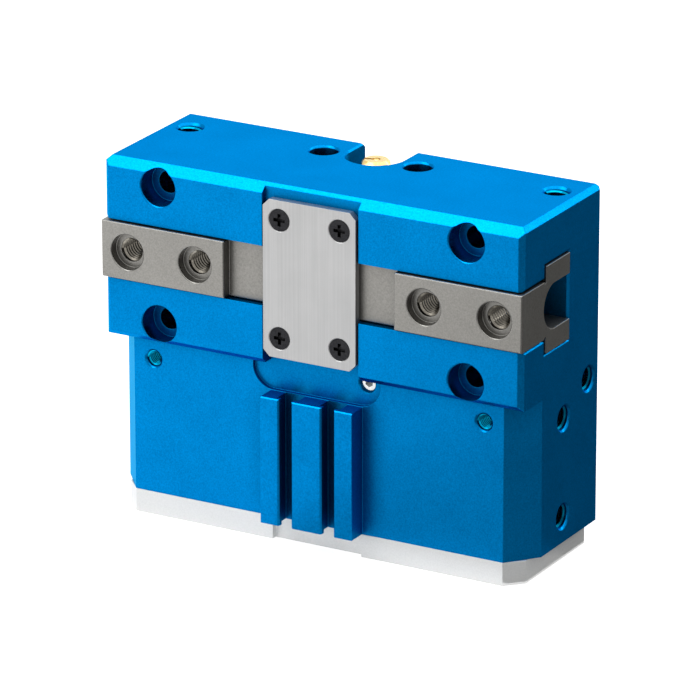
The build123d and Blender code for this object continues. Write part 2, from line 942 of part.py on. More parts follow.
def make_piston_seal():
    """The piston's seal."""
    low, high = seal_span()
    return oval_ring(
        ring_gap, seal_depth - ring_gap - groove_play, low + groove_play, high - groove_play
    )


def make_guide_ring():
    """The piston's guide ring."""
    low, high = guide_span()
    return oval_ring(
        ring_gap, guide_depth - ring_gap - groove_play, low + groove_play, high - groove_play
    )


def make_piston_magnets():
    """Two magnets that the position sensors feel through the wall."""
    return Compound(
        [peg(magnet_place(side), "front", magnet_diameter, magnet_length) for side in SIDES]
    )


def make_piston_rod():
    """The rod from the piston up to the wedge hook, threaded at both ends."""
    solid = peg((0, chamber_y, wedge_foot), "top", rod_diameter, wedge_foot - rod_foot)
    low = rod_foot + rod_ring_up
    inner = rod_diameter - 2 * rod_ring_depth
    solid -= ring(chamber_y, low, low + rod_ring_height, inner, rod_diameter + spill)
    depth = drive_screw_reach + spill
    solid -= drill((0, chamber_y, wedge_foot), "top", drive_screw, depth)
    solid -= drill((0, chamber_y, rod_foot), "bottom", drive_screw, depth)
    return solid


def make_rod_ring():
    """The small sealing ring between rod and piston."""
    low = rod_foot + rod_ring_up
    inner = rod_diameter - 2 * rod_ring_depth + groove_play
    return ring(
        chamber_y, low + groove_play, low + rod_ring_height - groove_play, inner, rod_diameter
    )


def cap_screw(seat, facing, reach):
    """A socket cap screw; seat is the plane under its head."""
    out = OUTWARD[facing]
    head_top = tuple(
        value + drive_head_height * step for value, step in zip(seat, out)
    )
    screw = peg(head_top, facing, drive_head, drive_head_height)
    screw += peg(seat, facing, drive_screw - 2 * thread_gap, reach)
    return screw - hexagon(drive_socket, head_top, facing, drive_socket_depth)


def make_piston_screw():
    """The screw that holds the piston on its rod."""
    seat_z = piston_foot + drive_head_depth
    return cap_screw((0, chamber_y, seat_z), "bottom", rod_foot - seat_z + drive_screw_reach)


def make_wedge_screw():
    """The screw that holds the wedge hook on the rod."""
    seat_z = wedge_foot + wedge_height - drive_head_depth
    return cap_screw((0, chamber_y, seat_z), "top", seat_z - wedge_foot + drive_screw_reach)


def ramp_x(z):
    """Where the jaw's slanted inner face is at a height, with the jaws open."""
    return ramp_middle + slope * (z - jaw_height)


def ramp_strip(side, inner, outer, low, high, width):
    """A slanted bar along the ramp, from one distance behind it to another."""
    outline = [
        (side * (ramp_x(low) + inner), low),
        (side * (ramp_x(low) + outer), low),
        (side * (ramp_x(high) + outer), high),
        (side * (ramp_x(high) + inner), high),
    ]
    return front_prism(outline, hook_y - width / 2, hook_y + width / 2)


def make_wedge_hook():
    """The wedge with a slanted T-rib on each side, which hooks into the jaws."""
    low, high = wedge_foot, wedge_foot + wedge_height
    outline = [
        (-ramp_x(low) + hook_gap, low),
        (ramp_x(low) - hook_gap, low),
        (ramp_x(high) - hook_gap, high),
        (-ramp_x(high) + hook_gap, high),
    ]
    solid = front_prism(outline, wedge_front, wedge_front + wedge_thickness)
    start = hook_lip + hook_gap
    for side in SIDES:
        solid += ramp_strip(side, -hook_lip, start, low, high, hook_neck_width)
        solid += ramp_strip(side, start, start + hook_head, low, high, hook_head_width)
    top = (0, chamber_y, high)
    hole = drive_screw + 2 * drive_screw_room
    solid -= drill(top, "top", hole, wedge_height + spill)
    return solid - drill(top, "top", drive_head + 2 * drive_head_room, drive_head_depth)


def make_jaw():
    """The right jaw: T-section slide, thick finger seat, tongue and hook groove."""
    neck_z = about_slot(neck_height / 2)
    low, high = about_slot(flange_height / 2)
    thick = block((jaw_step, jaw_outer), (-jaw_proud_front, flange_front), neck_z)
    front_edges = thick.faces().sort_by(Axis.Y)[0].edges()
    solid = chamfer(front_edges, jaw_edge)
    tongue_front = tongue_drop - jaw_proud_front
    solid += block((tongue_end, jaw_step), (tongue_front, flange_front), neck_z)
    outline = [(ramp_x(low), low), (jaw_outer, low), (jaw_outer, high), (ramp_x(high), high)]
    solid += front_prism(outline, flange_front, flange_back)
    past_low, past_high = low - spill, high + spill
    deep = hook_lip + hook_gap + hook_head + hook_floor_gap
    neck = hook_neck_width + 2 * hook_gap
    head = hook_head_width + 2 * hook_gap
    solid -= ramp_strip(1, -spill, hook_lip + hook_gap, past_low, past_high, neck)
    solid -= ramp_strip(1, hook_lip, deep, past_low, past_high, head)
    radius = groove_width / 2
    groove_low = ramp_x(jaw_height + radius) + deep + groove_wall
    length = jaw_outer - groove_low + spill
    centre = (groove_low + length / 2, groove_floor + radius, jaw_height)
    solid -= Pos(*centre) * Rotation(0, 90, 0) * Cylinder(radius, length)
    solid -= block(
        (groove_low, jaw_outer + spill),
        (groove_floor + radius, flange_back + spill),
        about_slot(radius),
    )
    for up in SIDES:
        corner = (
            (tongue_end + jaw_outer) / 2,
            flange_front - relief_radius,
            jaw_height + up * neck_height / 2,
        )
        bar = Cylinder(relief_radius, jaw_outer - tongue_end + 2 * spill)
        solid -= Pos(*corner) * Rotation(0, 90, 0) * bar
    for x in jaw_holes:
        mouth = (x, -jaw_proud_front, jaw_height)
        through = groove_floor + jaw_proud_front + spill / 2
        solid -= drill(mouth, "front", jaw_thread, through)
        solid -= drill(mouth, "front", sleeve_bore, sleeve_depth, jaw_hole_rim)
    return solid


def make_parts():
    """Every sub-part by its node's name."""
    right = make_jaw()
    return {
        "body_block": make_body_block(),
        "end_cover": make_end_cover(),
        "end_cover_screws": make_end_cover_screws(),
        "end_cover_pins": make_end_cover_pins(),
        "end_cover_seal": make_end_cover_seal(),
        "lower_bumpers": make_bumpers(cover_thickness - bumper_sunk),
        "upper_bumpers": make_bumpers(chamber_top - bumper_proud),
        "cover_plate": make_cover_plate(),
        "cover_plate_screws": make_cover_plate_screws(),
        "seal_retainer": make_seal_retainer(),
        "rod_seal": make_rod_seal(),
        "rod_bush": make_rod_bush(),
        "passage_plug": make_passage_plug(),
        "port_plugs": make_port_plugs(),
        "grease_nipple": make_nipple_body(),
        "grease_nipple_ball": make_nipple_ball(),
        "grease_nipple_spring": make_nipple_spring(),
        "piston": make_piston(),
        "piston_seal": make_piston_seal(),
        "piston_guide_ring": make_guide_ring(),
        "piston_magnets": make_piston_magnets(),
        "piston_rod": make_piston_rod(),
        "rod_ring": make_rod_ring(),
        "piston_screw": make_piston_screw(),
        "wedge_hook": make_wedge_hook(),
        "wedge_screw": make_wedge_screw(),
        "jaw_right": right,
        "jaw_left": mirror(right, about=Plane.YZ),
    }


os.makedirs("parts", exist_ok=True)
for name, shape in make_parts().items():
    export_step(Pos(0, -depth_centre, 0) * shape, f"parts/{name}.step")
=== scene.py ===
# %% [markdown]
# # A pneumatic parallel gripper, dressed in Blender
#
# The solids of this gripper come from CAD: a blue housing, two jaws that slide apart in a T-slot,
# a cover plate, an end cover and the drive inside. Their shapes and sizes are right already, so this
# lesson adds what CAD leaves out: finishes, softened edges, screw threads and studio light.

# %% Load the solids
import math

import bmesh
import bpy
from mathutils import Matrix, Vector


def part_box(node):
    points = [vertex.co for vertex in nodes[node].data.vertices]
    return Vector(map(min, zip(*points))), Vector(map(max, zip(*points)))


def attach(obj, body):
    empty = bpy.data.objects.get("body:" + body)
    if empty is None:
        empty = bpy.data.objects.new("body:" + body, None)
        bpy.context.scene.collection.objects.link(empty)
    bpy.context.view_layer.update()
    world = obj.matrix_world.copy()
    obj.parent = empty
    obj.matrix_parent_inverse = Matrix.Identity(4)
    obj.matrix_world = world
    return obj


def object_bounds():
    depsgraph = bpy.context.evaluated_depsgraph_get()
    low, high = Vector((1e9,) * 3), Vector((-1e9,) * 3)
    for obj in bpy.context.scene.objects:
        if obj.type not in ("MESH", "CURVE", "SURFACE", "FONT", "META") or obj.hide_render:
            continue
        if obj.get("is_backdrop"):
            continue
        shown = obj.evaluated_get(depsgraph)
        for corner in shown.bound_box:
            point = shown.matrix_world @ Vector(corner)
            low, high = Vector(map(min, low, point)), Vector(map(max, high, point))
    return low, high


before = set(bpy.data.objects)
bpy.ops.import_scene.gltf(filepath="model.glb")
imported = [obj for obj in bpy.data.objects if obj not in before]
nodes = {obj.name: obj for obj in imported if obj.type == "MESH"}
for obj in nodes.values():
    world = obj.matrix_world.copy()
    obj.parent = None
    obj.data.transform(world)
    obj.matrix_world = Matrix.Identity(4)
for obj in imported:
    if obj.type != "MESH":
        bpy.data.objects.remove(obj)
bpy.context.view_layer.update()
scene = bpy.context.scene
MM = 0.001

# %% [markdown]
# ## Where things are
#
# Drawings of this gripper give depths from the front face of its upper block. The solids have their
# zero in the middle of the depth instead, so one helper turns drawing millimetres into metres here.
# The deepest thing in front is the ribs' face, a known 2.3 mm before the upper block.

# %% Places
RIBS_PROUD = 2.3
front_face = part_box("body_block")[0].y / MM + RIBS_PROUD


def place(across, behind, height):
    """A point from the drawing: across from the middle, behind the front face, above the base."""
    return Vector((across, behind + front_face, height)) * MM


print("upper block's front face at", round(front_face, 2), "mm")

# %% [markdown]
# ## The camera
#
# The eye and the point it looks at were fitted to the corners of the housing in the picture. That puts
# the camera about 1.6 m away, thirty degrees round to the right and twenty above, with a long lens,
# which keeps parallel edges nearly parallel. It is a plain camera, and nothing is shifted.

# %% Camera
eye = place(717.3, -1259.8, 574.4)
looked_at = place(0.22, 19.17, 46.13)
SENSOR, LENS = 36.0, 330.03
camera_data = bpy.data.cameras.new("camera")
camera_data.sensor_width = SENSOR
camera_data.lens = LENS
camera_data.clip_start = 0.05
camera_data.clip_end = 20.0
camera = bpy.data.objects.new("camera", camera_data)
camera.location = eye
camera.rotation_euler = (looked_at - eye).to_track_quat("-Z", "Y").to_euler()
scene.collection.objects.link(camera)
scene.camera = camera
print("camera", round((looked_at - eye).length, 3), "m away")

# %% [markdown]
# ## Writing a finish as arithmetic
#
# A material is a tree of nodes, and sums done with nodes are long to write. Wrapping an output socket
# in a small class that knows Python's operators makes `1 - mask` add the Math node by itself.
# Everything else, such as a noise or a mix, comes from one method, `add`. The solids arrive with plain
# materials under the names of the record's slots, so the finishes made here are kept in their own
# dictionary, and aren't looked up by name in Blender.

# %% Wire and Finish
class Wire:
    """One output of a node, with arithmetic on it."""

    def __init__(self, finish, socket):
        self.finish = finish
        self.socket = socket

    def _math(self, operation, first, second=0.0):
        return self.finish.add("ShaderNodeMath", {"operation": operation}, {0: first, 1: second})

    def __add__(self, other):
        return self._math("ADD", self, other)

    def __sub__(self, other):
        return self._math("SUBTRACT", self, other)

    def __rsub__(self, other):
        return self._math("SUBTRACT", other, self)

    def __mul__(self, other):
        return self._math("MULTIPLY", self, other)

    __radd__ = __add__
    __rmul__ = __mul__

    def at_least(self, other):
        return self._math("MAXIMUM", self, other)

    def at_most(self, other):
        return self._math("MINIMUM", self, other)

    def step(self, low, high):
        """0 below low, 1 above high, and a smooth rise between."""
        settings = {"interpolation_type": "SMOOTHSTEP"}
        return self.finish.add("ShaderNodeMapRange", settings, {0: self, 1: low, 2: high})


finishes = {}
WHITE = (1.0, 1.0, 1.0, 1.0)


class Finish:
    """A material, with helpers that add nodes to it."""

    def __init__(self, name, roughness, metallic, edge_tint=WHITE):
        self.material = bpy.data.materials.new(name)
        finishes[name] = self.material
        self.material.use_nodes = True
        self.tree = self.material.node_tree
        self.shader = self.tree.nodes["Principled BSDF"]
        self.put({"Roughness": roughness, "Metallic": metallic, "Specular Tint": edge_tint})

    def add(self, kind, settings, values, output=0):
        """Any node: its settings first, then its sockets' values or links."""
        node = self.tree.nodes.new(kind)
        for key, value in settings.items():
            setattr(node, key, value)
        for key, value in values.items():
            self.fill(node.inputs[key], value)
        return Wire(self, node.outputs[output])

    def fill(self, socket, value):
        if isinstance(value, Wire):
            self.tree.links.new(value.socket, socket)
        else:
            socket.default_value = value

    def put(self, values):
        """Values or links for the shader's own sockets."""
        for key, value in values.items():
            self.fill(self.shader.inputs[key], value)

    def where(self):
        """The point being shaded, in the object's own metres."""
        return self.add("ShaderNodeTexCoord", {}, {}, "Object")

    def noise(self, scale, detail=2.0, stretch=(1.0, 1.0, 1.0)):
        """Cloudy noise from 0 to 1, with about `scale` lumps in a metre."""
        stretched = self.add("ShaderNodeMapping", {}, {"Vector": self.where(), "Scale": stretch})
        values = {"Vector": stretched, "Scale": scale, "Detail": detail}
        return self.add("ShaderNodeTexNoise", {}, values)

    def mix(self, mask, first, second):
        """The first colour where the mask is 0, the second where it is 1."""
        return self.add("ShaderNodeMix", {"data_type": "RGBA"}, {0: mask, 6: first, 7: second}, 2)

    def slanted(self):
        """1 on chamfers and round walls, 0 on faces square to an axis."""
        normal = self.add("ShaderNodeNewGeometry", {}, {}, "Normal")
        sized = self.add("ShaderNodeVectorMath", {"operation": "ABSOLUTE"}, {0: normal})
        axes = [self.add("ShaderNodeSeparateXYZ", {}, {0: sized}, index) for index in range(3)]
        squareness = axes[0].at_least(axes[1]).at_least(axes[2])
        return 1 - squareness.step(0.9, 0.985)

    def ao_for_painted_shade(self, shade_reach):
        """1 where nothing is near, falling to 0 in holes and slots; used to paint shade into base
        colours. The reach is in metres.
        """
        return self.add("ShaderNodeAmbientOcclusion", {"samples": 8}, {"Distance": shade_reach}, 1)

    def bumps(self, height, strength, distance):
        """Relief on the surface, from a height between 0 and 1 and a distance in metres."""
        values = {"Height": height, "Strength": strength, "Distance": distance}
        self.put({"Normal": self.add("ShaderNodeBump", {}, values)})


def tint(red, green, blue):
    """A colour as Blender's sockets take it."""
    return (red, green, blue, 1.0)


print("finishes are written with", Wire.__name__, "and", Finish.__name__)

# %% [markdown]
# ## Floor, background and light
#
# The object stands on white paper under soft boxes. The paper is a big plane. It shines a little for
# the camera and in reflections, so that it comes out white, but it still takes the object's shadow.
# The world behind it does the same, and gives everything else a gentle fill.

# %% Floor and world
PAPER_HALF, PAPER_DROP = 4.0, 0.0002
paper_mesh = bpy.data.meshes.new("paper")
sheet = bmesh.new()
bmesh.ops.create_grid(sheet, x_segments=1, y_segments=1, size=PAPER_HALF)
bmesh.ops.translate(sheet, vec=Vector((0, 0, -PAPER_DROP)), verts=sheet.verts)
sheet.to_mesh(paper_mesh)
sheet.free()
paper = bpy.data.objects.new("paper", paper_mesh)
scene.collection.objects.link(paper)
paper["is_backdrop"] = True


def seen(tree_owner):
    """1 for rays from the camera and for mirrored or refracted ones."""
    rays = [tree_owner.add("ShaderNodeLightPath", {}, {}, name)
            for name in ("Is Camera Ray", "Is Glossy Ray", "Is Transmission Ray")]
    return rays[0].at_least(rays[1]).at_least(rays[2])


paper_finish = Finish("white_paper", 0.9, 0.0)
fibre = paper_finish.noise(300, 3.0)
PAPER_DARK, PAPER_LIGHT = tint(0.80, 0.80, 0.80), tint(0.86, 0.86, 0.86)
paper_finish.put({"Base Color": paper_finish.mix(fibre, PAPER_DARK, PAPER_LIGHT)})
GLOW = 0.76
glow_values = {"Color": WHITE, "Strength": GLOW * seen(paper_finish)}
glow = paper_finish.add("ShaderNodeEmission", {}, glow_values)
lit = Wire(paper_finish, paper_finish.shader.outputs[0])
both = paper_finish.add("ShaderNodeAddShader", {}, {0: lit, 1: glow})
paper_output = paper_finish.tree.nodes["Material Output"]
paper_finish.fill(paper_output.inputs["Surface"], both)
paper.data.materials.append(paper_finish.material)

AMBIENT = 0.42
world = bpy.data.worlds.new("studio")
world.use_nodes = True
scene.world = world
# A world has nodes but no material, so it borrows a Finish's methods without making one.
room = Finish.__new__(Finish)
room.tree = world.node_tree
strength = AMBIENT + (1.0 - AMBIENT) * seen(room)
background = world.node_tree.nodes["Background"]
room.fill(background.inputs["Color"], WHITE)
room.fill(background.inputs["Strength"], strength)
scene.view_settings.view_transform = "Standard"
print("paper", 2 * PAPER_HALF, "m wide, fill light", AMBIENT)

# %% [markdown]
# A soft box high on the left does most of the work: the long chamfer along the top front edge mirrors
# it to the camera, which is why that edge shines. Another stands in front, low and weak. The right
# side is dark in the picture, as if a dark card stood beside it. Here such cards are seen by
# reflections only, so they darken the side and never show. A pale blue one stands behind, in
# the top face's mirror direction, and a bright one overhead gives the holes' rims their crescents.

# %% Soft boxes and cards
def soft_box(name, at, size, radiance):
    """A square lamp that faces the gripper; its radiance is what a mirror would show."""
    data = bpy.data.lights.new(name, "AREA")
    data.shape = "SQUARE"
    data.size = size
    data.energy = radiance * math.pi * size * size
    lamp = bpy.data.objects.new(name, data)
    lamp.location = at
    lamp.rotation_euler = (looked_at - Vector(at)).to_track_quat("-Z", "Y").to_euler()
    scene.collection.objects.link(lamp)


def card(name, across, behind, height, brightness, colour=WHITE):
    """A flat card between two corners in drawing millimetres, that only mirrored rays see."""
    mesh = bmesh.new()
    bmesh.ops.create_grid(mesh, x_segments=1, y_segments=1, size=0.5)
    lowest = Vector((across[0], behind[0], height[0])) * MM
    size = Vector((across[1], behind[1], height[1])) * MM - lowest
    for ends, axis in ((across, "Y"), (behind, "X")):
        if ends[0] == ends[1]:
            upright = Matrix.Rotation(math.pi / 2, 3, axis)
            bmesh.ops.rotate(mesh, verts=mesh.verts, cent=(0, 0, 0), matrix=upright)
    bmesh.ops.scale(mesh, vec=size, verts=mesh.verts)
    bmesh.ops.translate(mesh, vec=lowest + size / 2, verts=mesh.verts)
    data = bpy.data.meshes.new(name)
    mesh.to_mesh(data)
    mesh.free()
    piece = bpy.data.objects.new(name, data)
    scene.collection.objects.link(piece)
    finish = Finish(name, 1.0, 0.0)
    shine = finish.add("ShaderNodeEmission", {}, {"Color": colour, "Strength": brightness})
    finish.fill(finish.tree.nodes["Material Output"].inputs["Surface"], shine)
    data.materials.append(finish.material)
    for ray in ("camera", "diffuse", "transmission", "shadow", "volume_scatter"):
        setattr(piece, "visible_" + ray, False)
    piece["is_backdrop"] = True


soft_box("key_box", (-0.52, -0.40, 0.98), 0.7, 3.4)
soft_box("front_box", (-1.1, -1.5, 0.75), 0.9, 1.0)
soft_box("rim_box", (0.42, 1.05, 0.62), 0.55, 4.0)
ON_THE_PAPER, OVERHEAD = (0.6, 0.6), (1500, 1500)
PALE_BLUE = tint(0.9, 0.97, 1.0)
card("floor_card", (50, 900), (8, 1100), ON_THE_PAPER, 0.16)
card("corner_card", (52, 900), (-500, 8), ON_THE_PAPER, 0.36)
card("side_card", (900, 900), (-500, 1100), (0, 330), 0.16)
card("front_card", (-12, 57), (-700, -25), ON_THE_PAPER, 0.72)
card("back_card", (-1700, 500), (1000, 1000), (90, 1300), 1.35, PALE_BLUE)
card("ceiling_card", (-500, 1500), (-900, 2300), OVERHEAD, 2.4)

# %% [markdown]
# ## Blue anodised aluminium
#
# The housing is milled, blasted with fine beads and then anodised blue. The dye sits in a clear oxide,
# so the metal below gives coloured reflections. Blasting leaves a fine speckle and a broad soft gloss.
# Edges broken after blasting stay smoother, so they catch the light: a mask of slanted faces finds them.
# Deep holes, narrow slots and corners get painted shade: an ambient occlusion node darkens their base
# colour.
# Threads are cut after blasting. Their paler blue is a painted highlight for the bright cyan of their
# flanks, and their roots get painted shade.

# %% Blue anodised
SPECKLES, CLOUDS = 2500, 90
SHADE_REACH_WIDE, SHADE_REACH_TIGHT = 0.008, 0.0016
PAINTED_SHADE_BLACK = tint(0.0, 0.0, 0.0)


def blasted(name, dark, light, rough, metallic, fresh_rough, edge_tint=WHITE, shade_strength=0.3, shade_reach=SHADE_REACH_WIDE):
    """Bead-blasted metal with smoother chamfers. Painted shade darkens the base colour in corners within
    the reach, by a share of it.
    """
    finish = Finish(name, rough, metallic, edge_tint)
    speckle = finish.noise(SPECKLES, 2.0)
    cloud = finish.noise(CLOUDS, 3.0)
    fresh = finish.slanted()
    tone = 0.5 + (speckle - 0.5) * 1.7 + (cloud - 0.5) * 0.5
    colour = finish.mix(tone.at_least(0).at_most(1), dark, light)
    # Painted shade: the base colour is mixed towards black where the ambient occlusion finds holes,
    # slots and corners.
    painted_shade_amount = shade_strength * (1 - finish.ao_for_painted_shade(shade_reach))
    finish.put({"Base Color": finish.mix(painted_shade_amount, colour, PAINTED_SHADE_BLACK)})
    uneven = rough + (speckle - 0.5) * 0.10
    finish.put({"Roughness": uneven * (1 - fresh) + fresh * fresh_rough})
    finish.bumps(speckle, 0.25, 0.00003)


BLUE_DARK, BLUE_LIGHT, BLUE_EDGE = tint(0.0, 0.135, 0.37), tint(0.0, 0.235, 0.60), tint(0.0, 0.68, 0.95)
# The housing's holes, slots and corners get strong painted shade, up to 0.8 of their base colour.
blasted("blue_anodised", BLUE_DARK, BLUE_LIGHT, 0.42, 1.0, 0.28, BLUE_EDGE, 0.8)
# Painted highlight: a paler blue for the threads' bright flanks, with strong painted shade in their
# roots.
LIT_THREAD_BLUE_DARK, LIT_THREAD_BLUE_LIGHT = tint(0.0, 0.28, 0.50), tint(0.0, 0.44, 0.75)
blasted("thread_blue_brightened_shaded", LIT_THREAD_BLUE_DARK, LIT_THREAD_BLUE_LIGHT, 0.26, 1.0, 0.18, BLUE_EDGE, 0.95, SHADE_REACH_TIGHT)
print("made", list(finishes)[-2:])

# %% [markdown]
# ## Nickel, steel and clear anodised
#
# The jaws are hardened steel under dull nickel, a warm grey with a fine grain. The end cover is
# aluminium with a clear oxide, nearly white. The same blasted finish serves both, and the jaws'
# threads, whose crests shine while their roots, a fraction of a millimetre below, get painted shade.
# The jaws' corners get painted shade too; the end cover gets none.

# %% Nickel and clear anodised
JAW_DARK, JAW_LIGHT = tint(0.20, 0.195, 0.182), tint(0.295, 0.287, 0.269)
# Painted shade: holes and corners of the jaws are darkened in the base colour.
blasted("nickel_jaw", JAW_DARK, JAW_LIGHT, 0.38, 1.0, 0.24, shade_strength=0.55)
THREAD_DARK, THREAD_LIGHT = tint(0.19, 0.175, 0.15), tint(0.36, 0.335, 0.285)
# Painted shade: the jaws' thread roots are darkened almost to black in the base colour.
blasted("thread_nickel_shaded", THREAD_DARK, THREAD_LIGHT, 0.22, 1.0, 0.18, WHITE, 0.98, SHADE_REACH_TIGHT)
CLEAR_DARK, CLEAR_LIGHT = tint(0.75, 0.75, 0.735), tint(0.83, 0.83, 0.815)
blasted("clear_anodised", CLEAR_DARK, CLEAR_LIGHT, 0.42, 0.5, 0.34, shade_strength=0.0)
print("made", list(finishes)[-3:])

# %% [markdown]
# ## Brushed and ground metal
#
# The cover plate was drawn under an abrasive belt from top to bottom, and pins, rods and hooks are
# ground. Both leave fine parallel lines. Noise that is 150 times longer along one axis makes them, and
# the lines stir colour, gloss and relief together. Other pieces take milder stretches, or none.

# %% Brushed and ground
def brushed(name, dark, light, roughness, metallic, stretch, relief=0.2):
    """Metal with fine lines along the axis where stretch is small."""
    finish = Finish(name, roughness, metallic)
    lines = finish.noise(1000, 3.0, stretch)
    broad = finish.noise(120, 2.0)
    tone = lines * 0.7 + broad * 0.3
    finish.put({"Base Color": finish.mix(tone.step(0.25, 0.75), dark, light)})
    finish.put({"Roughness": roughness + (lines - 0.5) * 0.15})
    finish.bumps(lines, relief, 0.00002)


UP_AND_DOWN = (3.0, 3.0, 0.02)
LEFT_TO_RIGHT = (0.02, 3.0, 3.0)
FINE, COARSE = (2.0, 2.0, 2.0), (1.0, 1.0, 1.0)
brushed(
    "brushed_plate", tint(0.38, 0.38, 0.38), tint(0.46, 0.46, 0.46),
    0.40, 0.9, UP_AND_DOWN)
brushed(
    "ground_steel", tint(0.45, 0.45, 0.46), tint(0.60, 0.60, 0.62),
    0.25, 1.0, UP_AND_DOWN)
brushed(
    "hook_steel", tint(0.30, 0.29, 0.28), tint(0.42, 0.41, 0.40),
    0.32, 1.0, LEFT_TO_RIGHT)
brushed(
    "rod_chrome", tint(0.66, 0.67, 0.69), tint(0.78, 0.79, 0.81),
    0.10, 1.0, FINE, 0.05)
brushed(
    "bright_plug", tint(0.55, 0.56, 0.56), tint(0.72, 0.73, 0.73),
    0.22, 1.0, FINE)
brushed(
    "ball_steel", tint(0.86, 0.86, 0.86), tint(0.94, 0.94, 0.94),
    0.07, 1.0, FINE, 0.02)
brushed(
    "piston_aluminium", tint(0.60, 0.61, 0.62), tint(0.74, 0.75, 0.76),
    0.30, 1.0, (3.0, 3.0, 0.3))
brushed(
    "magnet", tint(0.42, 0.42, 0.43), tint(0.55, 0.55, 0.56),
    0.28, 1.0, COARSE)
print("made", list(finishes)[-8:])

# %% [markdown]
# ## Brass, bronze, black oxide
#
# The grease nipple is turned from brass, warm and a little uneven in tone. The rod's bush is sintered
# bronze, speckled like the blasted metals. The screws are blackened steel, dark and a little shiny.

# %% Brass, bronze and black
brushed(
    "nipple_brass", tint(0.70, 0.46, 0.15), tint(0.88, 0.66, 0.28),
    0.27, 1.0, (2.0, 2.0, 0.6))
# The bronze bush and the black screws also get a light painted shade in holes and corners.
blasted("bush_bronze", tint(0.40, 0.24, 0.10), tint(0.58, 0.38, 0.18), 0.45, 0.9, 0.4)
blasted("black_screw", tint(0.012, 0.012, 0.014), tint(0.035, 0.035, 0.038), 0.42, 0.9, 0.3)
print("made", list(finishes)[-3:])

# %% [markdown]
# ## Rubber and plastic
#
# Seals and cushions are black rubber, dull with a dusting of talc. The piston's guide ring is a filled
# plastic, brown and waxy. Neither is a metal, so light comes from below the surface and a weak gloss.

# %% Rubber and plastic
def moulded(name, dark, light, roughness):
    """A moulded soft or plastic piece with a faint bloom."""
    finish = Finish(name, roughness, 0.0)
    bloom = finish.noise(400, 4.0)
    fine = finish.noise(3000, 2.0)
    finish.put({"Base Color": finish.mix(bloom.step(0.4, 0.8), dark, light)})
    finish.put({"Roughness": roughness + (fine - 0.5) * 0.2})
    finish.bumps(fine, 0.3, 0.00004)


moulded("seal_rubber", tint(0.012, 0.012, 0.013), tint(0.03, 0.03, 0.032), 0.55)
moulded("bumper_rubber", tint(0.018, 0.017, 0.016), tint(0.045, 0.043, 0.04), 0.65)
moulded("guide_plastic", tint(0.10, 0.055, 0.03), tint(0.16, 0.09, 0.05), 0.45)
print("made", list(finishes)[-3:])

# %% [markdown]
# ## Finishes on the solids
#
# Each solid takes one of the finishes above, by the name of its material slot in the record. The two
# thread finishes have no slot of their own, because only the threads take them.

# %% Dress the solids
slot_of_node = {
    "body_block": "blue_anodised",
    "end_cover": "clear_anodised",
    "end_cover_screws": "black_screw",
    "end_cover_pins": "ground_steel",
    "end_cover_seal": "seal_rubber",
    "lower_bumpers": "bumper_rubber",
    "upper_bumpers": "bumper_rubber",
    "cover_plate": "brushed_plate",
    "cover_plate_screws": "black_screw",
    "seal_retainer": "ground_steel",
    "rod_seal": "seal_rubber",
    "rod_bush": "bush_bronze",
    "passage_plug": "bright_plug",
    "port_plugs": "bright_plug",
    "grease_nipple": "nipple_brass",
    "grease_nipple_ball": "ball_steel",
    "grease_nipple_spring": "ground_steel",
    "piston": "piston_aluminium",
    "piston_seal": "seal_rubber",
    "piston_guide_ring": "guide_plastic",
    "piston_magnets": "magnet",
    "piston_rod": "rod_chrome",
    "rod_ring": "seal_rubber",
    "piston_screw": "black_screw",
    "wedge_hook": "hook_steel",
    "wedge_screw": "black_screw",
    "jaw_right": "nickel_jaw",
    "jaw_left": "nickel_jaw",
}
for name, slot in slot_of_node.items():
    solid = nodes[name]
    solid.data.materials.clear()
    solid.data.materials.append(finishes[slot])
print("undressed:", sorted(set(nodes) - set(slot_of_node)))

# %% [markdown]
# ## Softened edges
#
# A real edge is never perfectly sharp: a deburring tool or the blasting breaks it by a tenth of a
# millimetre, and that narrow band is what glints. The solids are triangles, so three modifiers work
# together: Weld joins them, Decimate dissolves the flat ones into whole faces, and Bevel then has
# clean edges to round. A fourth evens the shading. The solids' own meshes stay as they are.

# %% Soften edges
FLAT_ENOUGH = math.radians(0.3)
SHARP = math.radians(25)
SAME_POINT = 2e-6


def soften(name, width, segments=2):
    """Rounds a solid's edges by a width in millimetres."""
    solid = nodes[name]
    weld = solid.modifiers.new("weld", "WELD")
    weld.merge_threshold = SAME_POINT
    whole = solid.modifiers.new("whole_faces", "DECIMATE")
    whole.decimate_type = "DISSOLVE"
    whole.angle_limit = FLAT_ENOUGH
    edge = solid.modifiers.new("edges", "BEVEL")
    edge.width = width * MM
    edge.segments = segments
    edge.limit_method = "ANGLE"
    edge.angle_limit = SHARP
    edge.use_clamp_overlap = False
    even = solid.modifiers.new("shading", "WEIGHTED_NORMAL")
    even.keep_sharp = True


edge_width = {
    "body_block": 0.12,
    "end_cover": 0.12,
    "cover_plate": 0.08,
    "jaw_right": 0.16,
    "jaw_left": 0.16,
    "grease_nipple": 0.05,
    "cover_plate_screws": 0.05,
}
for name, width in edge_width.items():
    soften(name, width)
print("softened", list(edge_width))

# %% [markdown]
# ## Screw threads
#
# CAD leaves a threaded hole as a plain bore of the thread's outer size. The ridge is added here: a
# small trapezium spun around the hole's axis while it moves one pitch a turn, 7/8 of a pitch wide at
# its foot and a quarter at its crest. A size such as M6 is a diameter and a pitch. The foot sinks a
# little into the bore's wall, its ends are closed, and it rides with the solid that it is cut in.

# %% Threads
STEPS = 32
SUNK = 0.05
FOOT_SHARE, CREST_SHARE = 0.875, 0.25
M6, M4 = (6, 1.0), (4, 0.7)
SMOOTH_BELOW = math.radians(30)
DOWN, BACKWARDS, LEFTWARDS = Vector((0, 0, -1)), Vector((0, 1, 0)), Vector((-1, 0, 0))


